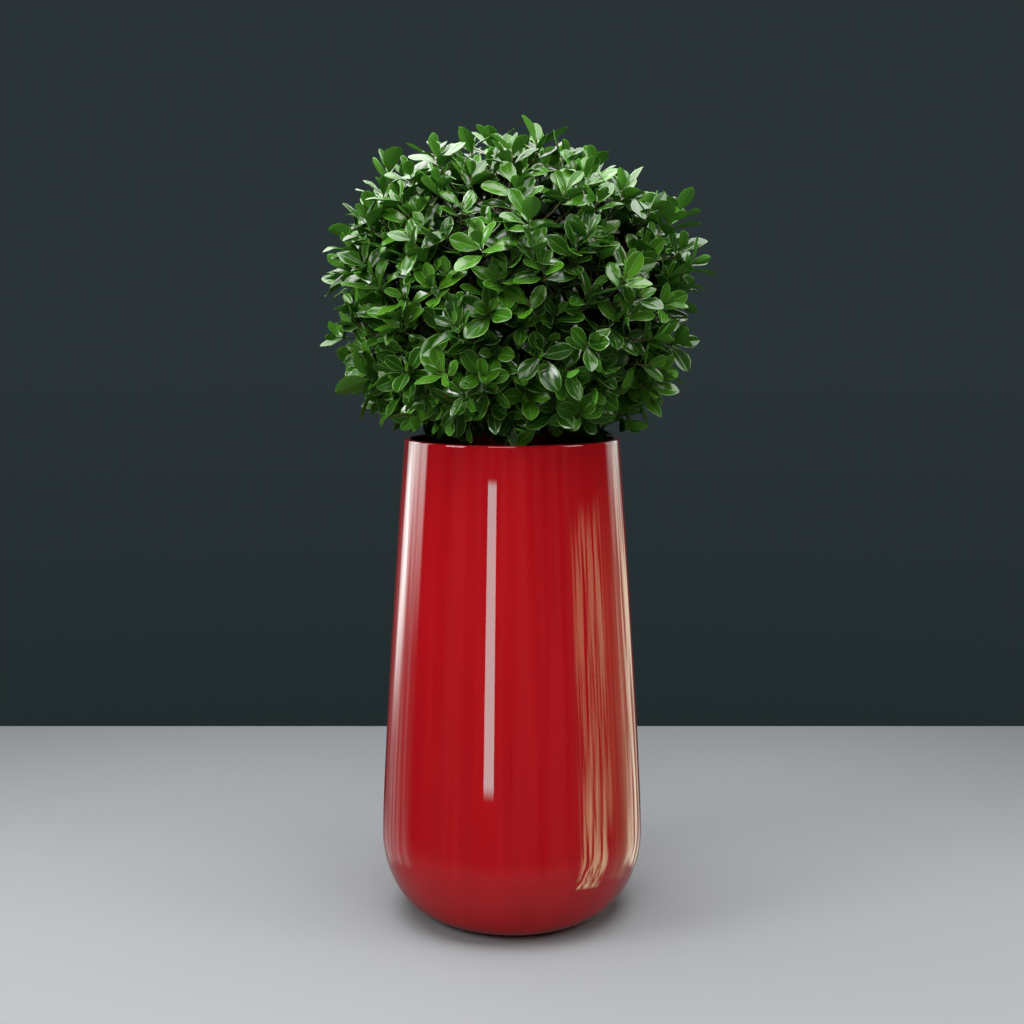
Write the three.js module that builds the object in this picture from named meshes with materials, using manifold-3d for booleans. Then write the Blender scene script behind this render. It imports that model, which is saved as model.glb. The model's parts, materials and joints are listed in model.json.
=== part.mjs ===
// Potted ficus: a dense round crown of leaves on a short forked stem, in a tall tapered planter.
// Millimetres, +Z up. The origin is the centre of the planter's flat underside.
import * as THREE from "three";
import { mergeVertices } from "three/addons/utils/BufferGeometryUtils.js";
import Module from "manifold-3d";

const wasm = await Module();
wasm.setup();

// Driving dimensions

const GAP = 0.3; // between a solid and the one that it stands on or grows from
const SEED = 5;
const GOLDEN_ANGLE = Math.PI * (3 - Math.sqrt(5));
const WELD = 1e-4; // vertices closer than this are one
const HALVINGS = 40; // of an interval that is searched

const POT = {
  height: 800,
  rimRadius: 176.5,
  bellyRadius: 219.5,
  bellyHeight: 136, // where the rounded foot meets the side
  baseRadius: 121, // of the flat underside
  sideEase: 1.2, // over 1, the side leaves the belly upright and leans in above it
  wall: 9,
  floor: 16,
  sides: 40,
  outerSteps: { foot: 6, side: 4 },
  innerSteps: { foot: 3, side: 3 },
  lipSteps: 4,
};

const SOIL = { drop: 45, mound: 6, flatRadius: 60 };

const TRUNK = {
  flareRadius: 35,
  flareHeight: 26,
  radius: 21,
  tipRadius: 8,
  sides: 10,
  steps: 9,
  // How far the trunk wanders from the planter's axis, at shares of its height.
  wander: [
    { share: 0, x: 10, y: 0 },
    { share: 0.3, x: 8, y: 3 },
    { share: 0.7, x: -3, y: -3 },
    { share: 1, x: 0, y: 0 },
  ],
};

// The crown's envelope, which the furthest leaf tips reach: an egg with a wide middle.
const CROWN = { middle: 1075, radius: 318, rise: 235, fall: 335 };

// The masses of foliage spread from a point low in the crown, in rings round the trunk.
// Polar angles are from straight up, turns are round the trunk from +X, both in degrees.
const SPREAD_HEIGHT = 950;
const RINGS = [
  { name: "top", count: 1, polar: 0, turn: 0 },
  { name: "upper", count: 5, polar: 41, turn: 54, forkHeight: 858 },
  { name: "lower", count: 6, polar: 83, turn: 0, forkHeight: 818 },
];

const BOUGH = { radius: 9.5, tipRadius: 6.5, sag: 0.1, overrun: 4, sides: 6, steps: 3 };
const ENTRY = 0.49; // share of the envelope where a bough ends and its mass begins

// The dense middle of the crown that the leaves stand out of, as shares of the envelope.
const CORE = {
  inner: 0.54,
  middle: 0.62,
  outer: 0.76,
  detail: 2,
  foot: 842,
  mouth: { footRadius: 62, radius: 134, sides: 24 }, // open round the boughs, up to the spread point
};

const EDGE = 0.6; // between a mass and the sides of its own space
const STEM = { radius: 6, tipRadius: 2.6, sides: 5, steps: 4 };

const SHOOT = {
  count: 104,
  lowest: -290, // height of the lowest tip from the crown's middle
  depth: [0.83, 0.92], // share of the envelope that a shoot's tip reaches
  stray: 0.25, // radians that a tip strays round the crown
  bend: 0.6, // share of the way to the tip where a shoot bends
  sag: 0.12, // how far it sags there, so that its end turns up
  radius: 3.2,
  tipRadius: 2.4,
  sides: 3,
  steps: 2,
  leafLength: 36, // the leafy end of a shoot
  bareTip: 8,
  leaves: 6,
};

const LEAF = {
  length: 72,
  width: 43,
  // Half of the blade's outline, as shares of its width and length.
  shoulder: { across: 0.3, along: 0.33 },
  widest: { across: 0.5, along: 0.63 },
  fold: 0.28, // rise of the blade each side of its midrib
  droop: 0.1,
  keel: { along: 0.26, depth: 0.035 }, // the thick midrib under the blade
  spread: [77, 34], // degrees from the shoot, for the oldest and the youngest leaf
  spreadStray: 7,
  turnStray: 26, // degrees from the middle of the side of the shoot that it grows on
  youngest: 0.78, // size of the youngest leaf
  sizeStray: 0.08,
  crossing: 0.05, // mm3 of overlap that two leaves may share at their stalks
  attempts: 6, // places tried round the shoot
};

const LOOKS = {
  planter: { color: 0xb5121b, roughness: 0.12, metalness: 0 },
  soil: { color: 0x2b1d14, roughness: 0.95, metalness: 0 },
  bark: { color: 0x5a4632, roughness: 0.85, metalness: 0 },
  foliage: { color: 0x2f6b22, roughness: 0.35, metalness: 0 },
};

// Small tools

// Repeatable random numbers from 0 to 1.
function randomFrom(seed) {
  let state = seed >>> 0;
  return () => {
    state = (state + 0x6d2b79f5) >>> 0;
    let t = Math.imul(state ^ (state >>> 15), state | 1);
    t ^= t + Math.imul(t ^ (t >>> 7), t | 61);
    return ((t ^ (t >>> 14)) >>> 0) / 4294967296;
  };
}

const random = randomFrom(SEED);
const stray = (most) => most * (2 * random() - 1);
const lerp = THREE.MathUtils.lerp;
const radians = THREE.MathUtils.degToRad;
const vec = (x, y, z) => new THREE.Vector3(x, y, z);

function solidFrom(geometry) {
  geometry.deleteAttribute("normal");
  geometry.deleteAttribute("uv");
  const merged = mergeVertices(geometry, WELD);
  return new wasm.Manifold(
    new wasm.Mesh({
      numProp: 3,
      vertProperties: new Float32Array(merged.getAttribute("position").array),
      triVerts: new Uint32Array(merged.index.array),
    }),
  );
}

function geometryFrom(solid) {
  const { vertProperties, triVerts } = solid.getMesh();
  const geometry = new THREE.BufferGeometry();
  geometry.setAttribute("position", new THREE.BufferAttribute(vertProperties, 3));
  geometry.setIndex(new THREE.BufferAttribute(triVerts, 1));
  return geometry;
}

// The shape that a profile of (radius, height) points sweeps round the Z axis.
function turned(profile) {
  return new THREE.LatheGeometry(profile, POT.sides).rotateX(Math.PI / 2);
}

// A tapering limb: a cylinder whose rings are moved along a curve.
function limb(curve, radiusAt, sides, steps) {
  const geometry = new THREE.CylinderGeometry(1, 1, 1, sides, steps);
  const frames = curve.computeFrenetFrames(steps);
  const position = geometry.getAttribute("position");
  for (let i = 0; i < position.count; i++) {
    const along = position.getY(i) + 0.5;
    const ring = Math.round(along * steps);
    const point = curve
      .getPointAt(along)
      .addScaledVector(frames.normals[ring], position.getX(i) * radiusAt(along))
      .addScaledVector(frames.binormals[ring], -position.getZ(i) * radiusAt(along));
    position.setXYZ(i, point.x, point.y, point.z);
  }
  return geometry;
}

const taper = (from, to) => (along) => lerp(from, to, along);

// Planter and soil

// The planter's outline from the edge of its flat bottom up to a height, moved in by an inset.
function wallProfile(inset, bottom, top, steps) {
  const flat = POT.baseRadius - inset;
  const round = POT.bellyRadius - POT.baseRadius;
  const foot = new THREE.EllipseCurve(
    flat,
    POT.bellyHeight,
    round,
    POT.bellyHeight - bottom,
    -Math.PI / 2,
    0,
  );
  const side = Array.from({ length: steps.side }, (_, i) => {
    const height = lerp(POT.bellyHeight, top, (i + 1) / steps.side);
    const share = (height - POT.bellyHeight) / (POT.height - POT.bellyHeight);
    const leanIn = (POT.bellyRadius - POT.rimRadius) * share ** POT.sideEase;
    return new THREE.Vector2(POT.bellyRadius - inset - leanIn, height);
  });
  return [...foot.getPoints(steps.foot), ...side];
}

function planterGeometry() {
  const lip = POT.wall / 2;
  const lipArc = new THREE.EllipseCurve(
    POT.rimRadius - lip,
    POT.height - lip,
    lip,
    lip,
    0,
    Math.PI,
  );
  return turned([
    new THREE.Vector2(0, 0),
    ...wallProfile(0, 0, POT.height - lip, POT.outerSteps),
    ...lipArc.getPoints(POT.lipSteps).slice(1, -1),
    ...wallProfile(POT.wall, POT.floor, POT.height - lip, POT.innerSteps).reverse(),
    new THREE.Vector2(0, POT.floor),
  ]);
}

const soilHeight = POT.height - SOIL.drop;

function soilGeometry() {
  const inset = POT.wall + GAP;
  return turned([
    new THREE.Vector2(0, POT.floor + GAP),
    ...wallProfile(inset, POT.floor + GAP, soilHeight - SOIL.mound, POT.innerSteps),
    new THREE.Vector2(SOIL.flatRadius, soilHeight),
    new THREE.Vector2(0, soilHeight),
  ]);
}

// Crown layout

const spreadPoint = vec(0, 0, SPREAD_HEIGHT);
const crownMiddle = vec(0, 0, CROWN.middle);

// 1 on the crown's envelope, less inside it.
function envelopeShare(point) {
  const off = point.clone().sub(crownMiddle);
  const tall = off.z > 0 ? CROWN.rise : CROWN.fall;
  return Math.hypot(off.x / CROWN.radius, off.y / CROWN.radius, off.z / tall);
}

// How far a share of the envelope is from the spread point in a direction.
function reach(direction, share) {
  let near = 0;
  let far = CROWN.rise + CROWN.fall;
  for (let i = 0; i < HALVINGS; i++) {
    const middle = (near + far) / 2;
    const inside = envelopeShare(spreadPoint.clone().addScaledVector(direction, middle)) < share;
    if (inside) near = middle;
    else far = middle;
  }
  return near;
}

// One entry for each mass, with the axis that it grows along.
const masses = RINGS.flatMap((ring) =>
  Array.from({ length: ring.count }, (_, i) => {
    const polar = radians(ring.polar);
    const azimuth = radians(ring.turn) + (2 * Math.PI * i) / ring.count;
    const axis = vec(
      Math.sin(polar) * Math.cos(azimuth),
      Math.sin(polar) * Math.sin(azimuth),
      Math.cos(polar),
    );
    const number = ring.count > 1 ? `_${i + 1}` : "";
    return { name: ring.name + number, ring, axis };
  }),
);

const onAxis = (mass, share) =>
  spreadPoint.clone().addScaledVector(mass.axis, reach(mass.axis, share));

// The distance from a point to the nearest side of a mass's own space, negative outside it.
function roomInside(mass, point) {
  const off = point.clone().sub(spreadPoint);
  const rooms = masses
    .filter((other) => other !== mass)
    .map((other) => off.dot(mass.axis.clone().sub(other.axis).normalize()));
  return Math.min(...rooms);
}

function massOf(point) {
  const direction = point.clone().sub(spreadPoint).normalize();
  return masses.reduce((best, mass) =>
    mass.axis.dot(direction) > best.axis.dot(direction) ? mass : best,
  );
}

// Trunk and boughs

const topMass = masses.find((mass) => mass.ring.name === "top");
const trunkFoot = soilHeight + GAP;
const trunkTop = onAxis(topMass, ENTRY).z + BOUGH.overrun;
const trunkCurve = new THREE.CatmullRomCurve3(
  TRUNK.wander.map(({ share, x, y }) => vec(x, y, lerp(trunkFoot, trunkTop, share))),
);

// Cuts a limb square to the mass that it enters.
function cutAtMass(solid, mass) {
  const entry = onAxis(mass, ENTRY);
  const inwards = mass.axis.clone().negate();
  return solid.trimByPlane(inwards.toArray(), inwards.dot(entry));
}

// The trunk's flared foot is cut flat at the soil.
function trunkSolid(grow) {
  const radiusAt = (along) => {
    const flare = Math.exp((-along * (trunkTop - trunkFoot)) / TRUNK.flareHeight);
    const plain = lerp(TRUNK.radius, TRUNK.tipRadius, along);
    return plain + (TRUNK.flareRadius - TRUNK.radius) * flare + grow;
  };
  const whole = solidFrom(limb(trunkCurve, radiusAt, TRUNK.sides, TRUNK.steps));
  return cutAtMass(whole.trimByPlane([0, 0, 1], trunkFoot), topMass);
}

function boughSolid(mass, grow) {
  const forkShare = (mass.ring.forkHeight - trunkFoot) / (trunkTop - trunkFoot);
  const start = trunkCurve.getPointAt(forkShare);
  const end = onAxis(mass, ENTRY).addScaledVector(mass.axis, BOUGH.overrun);
  const bend = start.clone().lerp(end, 0.5);
  bend.z -= BOUGH.sag * start.distanceTo(end);
  const curve = new THREE.QuadraticBezierCurve3(start, bend, end);
  const radiusAt = taper(BOUGH.radius + grow, BOUGH.tipRadius + grow);
  return cutAtMass(solidFrom(limb(curve, radiusAt, BOUGH.sides, BOUGH.steps)), mass);
}

// Leaves and shoots

// A leaf with its stalk end at the origin: its length along Y, its upper side towards Z.
function leafGeometry(size) {
  const length = LEAF.length * size;
  const width = LEAF.width * size;
  const { shoulder, widest, keel } = LEAF;
  const outline = [
    [0, 0],
    [shoulder.across, shoulder.along],
    [widest.across, widest.along],
    [0, 1],
    [-widest.across, widest.along],
    [-shoulder.across, shoulder.along],
  ].map(([across, along]) => [
    across * width,
    along * length,
    Math.abs(across) * width * LEAF.fold - LEAF.droop * length * along ** 2,
  ]);
  const under = [0, keel.along * length, -keel.depth * length];
  const upperFaces = [0, 1, 5, 1, 2, 3, 1, 3, 5, 3, 4, 5];
  const lowerFaces = outline.flatMap((_, i) => [(i + 1) % outline.length, i, outline.length]);
  const geometry = new THREE.BufferGeometry();
  const points = [...outline, under].flat();
  geometry.setAttribute("position", new THREE.Float32BufferAttribute(points, 3));
  geometry.setIndex([...upperFaces, ...lowerFaces]);
  return geometry;
}

// A leaf on a shoot that points along way, leaning out to a side. Age is 0 for the youngest.
function placedLeaf(point, way, side, age) {
  const [oldest, youngest] = LEAF.spread;
  const lean = radians(lerp(youngest, oldest, age) + stray(LEAF.spreadStray));
  const out = side.clone().applyAxisAngle(way, radians(stray(LEAF.turnStray)));
  const along = way.clone().multiplyScalar(Math.cos(lean)).addScaledVector(out, Math.sin(lean));
  const across = along.clone().cross(way).normalize();
  const up = across.clone().cross(along);
  const size = lerp(LEAF.youngest, 1, age) * (1 + stray(LEAF.sizeStray));
  const place = new THREE.Matrix4().makeBasis(across, along, up).setPosition(point);
  return leafGeometry(size).applyMatrix4(place);
}

function pointsOf(geometry) {
  const position = geometry.getAttribute("position");
  return Array.from({ length: position.count }, (_, i) =>
    new THREE.Vector3().fromBufferAttribute(position, i),
  );
}

// Shoot tips spread evenly over the crown by the golden angle, each set back by its own share.
function shootTip(i) {
  const height = lerp(CROWN.rise, SHOOT.lowest, (i + 0.5) / SHOOT.count);
  const up = height / (height > 0 ? CROWN.rise : CROWN.fall);
  const out = CROWN.radius * Math.sqrt(1 - up * up);
  const azimuth = i * GOLDEN_ANGLE + stray(SHOOT.stray);
  const depth = lerp(...SHOOT.depth, random());
  return vec(out * Math.cos(azimuth), out * Math.sin(azimuth), height)
    .multiplyScalar(depth)
    .add(crownMiddle);
}

// A shoot leaves its mass's stem inside the core and turns up a little at its end.
function shootCurve(mass, tip) {
  const start = onAxis(mass, CORE.middle);
  const bend = start.clone().lerp(tip, SHOOT.bend);
  bend.z -= SHOOT.sag * tip.distanceTo(start);
  return new THREE.QuadraticBezierCurve3(start, bend, tip);
}

// The directions that the flat sides of a shoot's end face.
function shootSides(curve) {
  const { normals, binormals } = curve.computeFrenetFrames(SHOOT.steps);
  return Array.from({ length: SHOOT.sides }, (_, i) => {
    const angle = (2 * Math.PI * (i + 0.5)) / SHOOT.sides;
    return normals[SHOOT.steps]
      .clone()
      .multiplyScalar(Math.sin(angle))
      .addScaledVector(binormals[SHOOT.steps], -Math.cos(angle));
  });
}

// Masses

// The crown's envelope shrunk to a share of its size.
function crownSolid(share) {
  const ball = new THREE.IcosahedronGeometry(share, CORE.detail);
  const position = ball.getAttribute("position");
  for (let i = 0; i < position.count; i++) {
    const up = position.getZ(i);
    const height = up * (up > 0 ? CROWN.rise : CROWN.fall);
    position.setXYZ(
      i,
      position.getX(i) * CROWN.radius,
      position.getY(i) * CROWN.radius,
      CROWN.middle + height,
    );
  }
  return solidFrom(ball);
}

// The dense middle of a mass: its share of a thick shell inside the crown.
function coreSolid(mass) {
  const { radius, footRadius, sides } = CORE.mouth;
  const mouthHeight = SPREAD_HEIGHT - CORE.foot;
  const mouth = new THREE.CylinderGeometry(radius, footRadius, mouthHeight, sides);
  mouth.rotateX(Math.PI / 2).translate(0, 0, CORE.foot + mouthHeight / 2);
  let core = crownSolid(CORE.outer)
    .subtract(crownSolid(CORE.inner))
    .subtract(solidFrom(mouth))
    .trimByPlane([0, 0, 1], CORE.foot + EDGE);
  for (const other of masses) {
    if (other === mass) continue;
    const inwards = mass.axis.clone().sub(other.axis).normalize();
    core = core.trimByPlane(inwards.toArray(), inwards.dot(spreadPoint) + EDGE);
  }
  return core;
}

function stemSolid(mass) {
  const foot = onAxis(mass, ENTRY).addScaledVector(mass.axis, GAP);
  const line = new THREE.LineCurve3(foot, onAxis(mass, CORE.middle));
  return solidFrom(limb(line, taper(STEM.radius, STEM.tipRadius), STEM.sides, STEM.steps));
}

const overlaps = (solid, others) =>
  others.some((other) => solid.intersect(other).volume() > LEAF.crossing);

// The leaves of one shoot, oldest first, each in the first place tried that is clear.
function shootLeaves(curve, isClear) {
  const tip = curve.getPointAt(1);
  const knee = curve.getPointAt(1 - 1 / SHOOT.steps);
  const way = tip.clone().sub(knee).normalize();
  const leafy = Math.min(SHOOT.leafLength, tip.distanceTo(knee));
  const sides = shootSides(curve);
  const leaves = [];
  for (let i = 0; i < SHOOT.leaves; i++) {
    const age = 1 - i / (SHOOT.leaves - 1);
    const point = tip.clone().addScaledVector(way, -lerp(SHOOT.bareTip, leafy, age));
    for (let attempt = 0; attempt < LEAF.attempts; attempt++) {
      const leaf = placedLeaf(point, way, sides[(i + attempt) % sides.length], age);
      const solid = solidFrom(leaf);
      if (!isClear(leaf, solid, leaves)) continue;
      leaves.push(solid);
      break;
    }
  }
  return leaves;
}

// One mass: its stem, core, shoots and leaves, all inside the mass's own space.
function massSolid(mass, tips, obstacles) {
  const wood = [stemSolid(mass), coreSolid(mass)];
  const leaves = [];
  const inSpace = (point) => roomInside(mass, point) > EDGE && envelopeShare(point) < 1;
  const isInside = (geometry, solid) =>
    pointsOf(geometry).every(inSpace) && solid.intersect(obstacles).isEmpty();
  const isClear = (geometry, solid, beside) =>
    isInside(geometry, solid) && !overlaps(solid, [...wood, ...leaves, ...beside]);
  for (const tip of tips) {
    const curve = shootCurve(mass, tip);
    const shoot = limb(curve, taper(SHOOT.radius, SHOOT.tipRadius), SHOOT.sides, SHOOT.steps);
    const solid = solidFrom(shoot);
    if (!isInside(shoot, solid) || overlaps(solid, leaves)) continue;
    leaves.push(...shootLeaves(curve, isClear));
    wood.push(solid);
  }
  return wasm.Manifold.union([...wood, ...leaves]);
}

// Assembly

const ficus = new THREE.Group();

function addMesh(name, geometry, look) {
  const mesh = new THREE.Mesh(geometry, new THREE.MeshStandardMaterial(LOOKS[look]));
  mesh.name = name;
  ficus.add(mesh);
}

addMesh("planter", planterGeometry(), "planter");
addMesh("soil", soilGeometry(), "soil");
addMesh("trunk", geometryFrom(trunkSolid(0)), "bark");

const boughMasses = masses.filter((mass) => mass !== topMass);
const trunkRoom = trunkSolid(GAP);
for (const mass of boughMasses) {
  const bough = boughSolid(mass, 0).subtract(trunkRoom);
  addMesh(`bough_${mass.name}`, geometryFrom(bough), "bark");
}

const obstacles = wasm.Manifold.union([
  trunkSolid(2 * GAP),
  ...boughMasses.map((mass) => boughSolid(mass, 2 * GAP)),
  solidFrom(planterGeometry()),
]);
const tips = Array.from({ length: SHOOT.count }, (_, i) => shootTip(i));
for (const mass of masses) {
  const own = tips.filter((tip) => massOf(tip) === mass);
  addMesh(`foliage_${mass.name}`, geometryFrom(massSolid(mass, own, obstacles)), "foliage");
}

export default ficus;
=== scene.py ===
"""Potted ficus: a dense ball of small glossy leaves on a short forked stem, in a tall glossy red planter.

Metres, +Z up. The origin is the centre of the planter's flat underside, and the photo is taken from -Y.
"""

import json
import math
from types import SimpleNamespace as Sizes

import bpy
import numpy as np
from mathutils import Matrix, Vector, noise

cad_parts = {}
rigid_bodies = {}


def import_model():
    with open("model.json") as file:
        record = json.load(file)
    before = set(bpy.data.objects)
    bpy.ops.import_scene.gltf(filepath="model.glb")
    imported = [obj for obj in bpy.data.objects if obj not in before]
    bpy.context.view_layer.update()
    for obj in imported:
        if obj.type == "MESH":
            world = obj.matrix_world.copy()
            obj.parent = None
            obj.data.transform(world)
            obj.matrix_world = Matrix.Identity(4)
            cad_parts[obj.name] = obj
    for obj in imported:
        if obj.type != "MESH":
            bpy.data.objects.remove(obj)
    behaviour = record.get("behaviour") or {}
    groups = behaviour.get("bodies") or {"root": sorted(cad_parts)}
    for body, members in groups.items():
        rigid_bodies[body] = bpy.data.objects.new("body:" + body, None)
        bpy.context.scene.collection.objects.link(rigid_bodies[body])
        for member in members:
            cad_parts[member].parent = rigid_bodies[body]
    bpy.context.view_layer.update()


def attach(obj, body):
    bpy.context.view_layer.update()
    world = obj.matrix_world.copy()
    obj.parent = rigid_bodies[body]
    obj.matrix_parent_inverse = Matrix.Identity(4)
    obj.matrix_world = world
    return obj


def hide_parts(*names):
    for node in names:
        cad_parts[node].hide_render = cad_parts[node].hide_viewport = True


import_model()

# Driving dimensions

SEED = 29
GOLDEN_ANGLE = math.pi * (3 - math.sqrt(5))
HALVINGS = 40  # of an interval that is searched
UP = np.array([0.0, 0.0, 1.0])
SKEW = 0.1  # tilts the direction that a ring of points starts from off the vertical
LIMB_SKEW = (0.05, 0.02, 0)  # tilts it further on limbs
ROUNDING = 1e-6  # less than any real step in height

POT = Sizes(
    height=0.8,
    rim_radius=0.1765,
    belly_radius=0.2195,
    belly_height=0.136,  # where the rounded foot meets the side
    base_radius=0.121,  # of the flat underside
    side_ease=1.2,  # over 1, the side leaves the belly upright and leans in above it
    wall=0.009,
    lip_edge=0.0022,  # radius of the rim's two edges
    floor=0.016,
    sides=192,
    foot_steps=24,
    side_steps=48,
    lip_steps=6,
)

SOIL = Sizes(
    drop=0.045,
    mound=0.006,
    clear=0.0003,  # from the planter's inside
    clear_leaf=0.006,  # from the lowest leaves
    sides=128,
    rings=40,
    lumps=((45.0, 0.0035), (140.0, 0.0018)),  # scale and height of its relief
    chips=190,
    chip_size=(0.004, 0.011),
    chip_width=(0.4, 0.7),  # of its length
    chip_height=(0.2, 0.35),  # of its length
    chip_stray=(0.75, 1.1),  # of each corner
)

TRUNK = Sizes(
    flare_radius=0.035,
    flare_height=0.026,
    radius=0.021,
    tip_radius=0.008,
    sides=40,
    steps=110,
    # How far the trunk wanders from the planter's axis: share of its height, x, y.
    wander=((0, 0.010, 0), (0.3, 0.008, 0.003), (0.7, -0.003, -0.003), (1, 0, 0)),
    roots=5,
    root_swell=0.22,
    buried=0.012,
    overlap=0.01,  # into the stem of the top mass
)

# Relief of the bark on the trunk and the boughs. Scales are per metre, depths are shares of the radius.
BARK = Sizes(
    fissures=(190, 190, 34),  # scales across and along an upright limb
    fissure_depth=0.11,
    fissure_middle=0.25,  # between the bottom of a fissure and its edge
    knots=38,
    knot_depth=0.10,
    grain=420,
    grain_depth=0.025,
)

# The crown's envelope is an egg with a wide middle. The leaves' own dome has a crest a little over it. The
# powers dome and skirt shape the leaves' outline over and under the middle: 2 is an egg, more is fuller.
# The power uneven is under 1, so few tips stand far out.
CROWN = Sizes(
    middle=1.075,
    radius=0.318,
    rise=0.235,
    fall=0.335,
    crest=0.243,
    dome=1.9,
    skirt=2.1,
    uneven=0.6,
)
CROWN_MIDDLE = np.array([0, 0, CROWN.middle])

# The masses of foliage spread from a point low in the crown, in rings round the trunk.
# Polar angles are from straight up, turns are round the trunk from +X, both in degrees.
SPREAD_POINT = np.array([0, 0, 0.95])
RINGS = (
    Sizes(name="top", count=1, polar=0, turn=0, fork=None),
    Sizes(name="upper", count=5, polar=41, turn=54, fork=0.858),
    Sizes(name="lower", count=6, polar=83, turn=0, fork=0.818),
)
ENTRY = 0.49  # share of the envelope where a bough ends and its mass begins
STEM_END = 0.66  # share of the envelope where a mass's stem ends

BOUGH = Sizes(radius=0.0095, tip_radius=0.0065, sag=0.1, sides=20, steps=40)
STEM = Sizes(
    radius=0.0062,
    tip_radius=0.0026,
    overlap=0.01,  # into its bough, as a share of the envelope
    sides=8,
    steps=8,
)
SHOOT = Sizes(
    count=104,
    heights=(0.241, -0.29),  # of the highest and lowest tip from the crown's middle
    depth=(0.100, 0.125),  # from the envelope in to a shoot's tip
    stray=0.13,  # radians that a tip strays round the crown
    leave=(0.35, 1),  # where along its stem a shoot leaves it
    bend=0.6,  # share of the way to the tip where a shoot bends
    sag=0.12,
    radius=0.0032,
    tip_radius=0.0018,
    sides=6,
    steps=7,
)
# Layers of leafy twigs: their count, how far in from the envelope their tips end, the heights of those
# tips from the crown's middle, and the shares of the greens that their sprays have, darkest first.
LAYERS = (
    Sizes(count=340, depth=(0.010, 0.080), heights=(0.242, -0.27), greens=(0, 0.30, 0.36, 0.24, 0.10)),
    Sizes(count=62, depth=(0.012, 0.054), heights=(-0.15, -0.28), greens=(0, 0.30, 0.36, 0.26, 0.08)),
    Sizes(count=28, depth=(0.035, 0.065), heights=(-0.275, -0.315), greens=(0, 0.30, 0.40, 0.30, 0)),
    # The two inner layers mostly or only take the darkest green: painted shade inside the crown.
    Sizes(count=150, depth=(0.085, 0.115), heights=(0.241, -0.29), greens=(0.75, 0.25, 0, 0, 0)),
    Sizes(count=90, depth=(0.125, 0.160), heights=(0.241, -0.29), greens=(1, 0, 0, 0, 0)),
)
TWIG = Sizes(
    leave=(0.45, 0.95),  # where along its shoot a twig leaves it
    straight=0.45,  # share of a twig that already points the way its tip does
    # How far up a tip turns from straight out of the crown: at the middle, and what the top adds to that.
    rise=(0.98, 0.66),
    stray=0.22,
    radius=0.0017,
    tip_radius=0.0009,
    bud=0.006,
    bud_taper=4,  # a bud's end is this much thinner than the twig's tip
    sides=5,
    steps=6,
)

LEAF = Sizes(
    per_twig=(6, 7),
    length=0.0505,
    width=0.485,  # of the length
    stalk=0.07,  # share of the length
    stalk_width=0.0016,
    tip_width=0.0008,
    base_power=0.98,  # of the outline towards the stalk
    tip_power=0.71,  # of the outline towards the tip
    rows=(0, 0.07, 0.20, 0.40, 0.60, 0.78, 0.91, 0.975, 1),
    columns=(-1, -0.90, -0.45, -0.055, 0.055, 0.45, 0.90, 1),
    thickness=0.0007,
    least_thick=0.3,  # share of the thickness that is left at the ends
    rib=0.1,  # share of the width
    rib_groove=0.0004,
    rib_keel=0.0006,
    crease=70,  # degrees between faces from which an edge is sharp
    leafy=(0.002, 0.026),  # from the twig's tip, for the youngest and the oldest leaf
    lean=(26, 70),  # degrees from the twig, for the youngest and the oldest leaf
    lean_power=0.75,  # under 1, the lean grows most among the young leaves
    lean_stray=10,
    turn_stray=0.16,
    roll_stray=0.26,
    youngest=0.60,  # size of the youngest leaf
    grown=0.4,  # age at which a leaf is full size
    size_stray=0.10,
    spray_stray=0.06,  # in size, of all leaves of a spray
    width_stray=0.07,
    fold=(0.28, 0.10),  # mean and spread of the rise each side of the midrib
    curl=(0.22, 0.22),  # mean and spread of the bend along the leaf, in radians
    curl_by_age=(0.4, 1.2),  # for the youngest and the oldest leaf
    curl_power=1.4,  # over 1, the bend is mostly near the tip
    roll=0.35,  # how far the edges turn down
    roll_start=0.45,  # share of half the width where that starts
    twist=0.22,
    wave=0.0011,
    waves=(9, 2),  # radians along the leaf and across half of it
    wave_stray=3,
    lift=0.10,  # how far an old leaf turns up from the way it grows
)

# The crown's underside stays over the rim, except in the middle and in a few lobes round it, which hang
# into the planter. The first of them is at the front.
UNDERSIDE = Sizes(over_rim=0.012, clear_rim=0.003, hang=0.030, lobes=4, middle=0.10)

CAMERA = Sizes(place=(0, -2.40, 0.978), pitch=7.17, lens=51.25, sensor=36)
# The floor turns darker from fade on Y to its back edge: painted shade towards the wall.
FLOOR = Sizes(left=-5.0, right=5.0, front=-5.0, back=1.12, fade=0.2, roughness=0.7)
# Sines of the slopes between which the wall turns from its low to its high grey.
WALL_RISE = (-0.27, -0.02)

# Colours, as linear red, green and blue

RED = (0.342, 0.0034, 0.0066)
DEEP_RED = (0.306, 0.0028, 0.0056)
DARK_SOIL = (0.006, 0.004, 0.003)
PALE_SOIL = (0.055, 0.034, 0.020)
PALE_GREY = (0.312, 0.326, 0.341)
# Painted shade: the floor's grey at its back edge.
FAR_PAINTED_SHADE_GREY = (0.235, 0.251, 0.266)
WALL_GREY = (0.0232, 0.0331, 0.0369)
WALL_LOW_GREY = (0.0152, 0.0232, 0.0252)
# The first green is painted shade: the leaves inside the crown are dark all over.
LEAF_GREENS = (
    (0.0034, 0.0160, 0.0014),
    (0.0136, 0.0570, 0.0030),
    (0.0222, 0.0850, 0.0042),
    (0.0322, 0.1140, 0.0056),
    (0.0430, 0.1410, 0.0068),
)
YOUNG_GREEN = (0.036, 0.116, 0.008)
UNDER_GREEN = (0.052, 0.185, 0.009)
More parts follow.
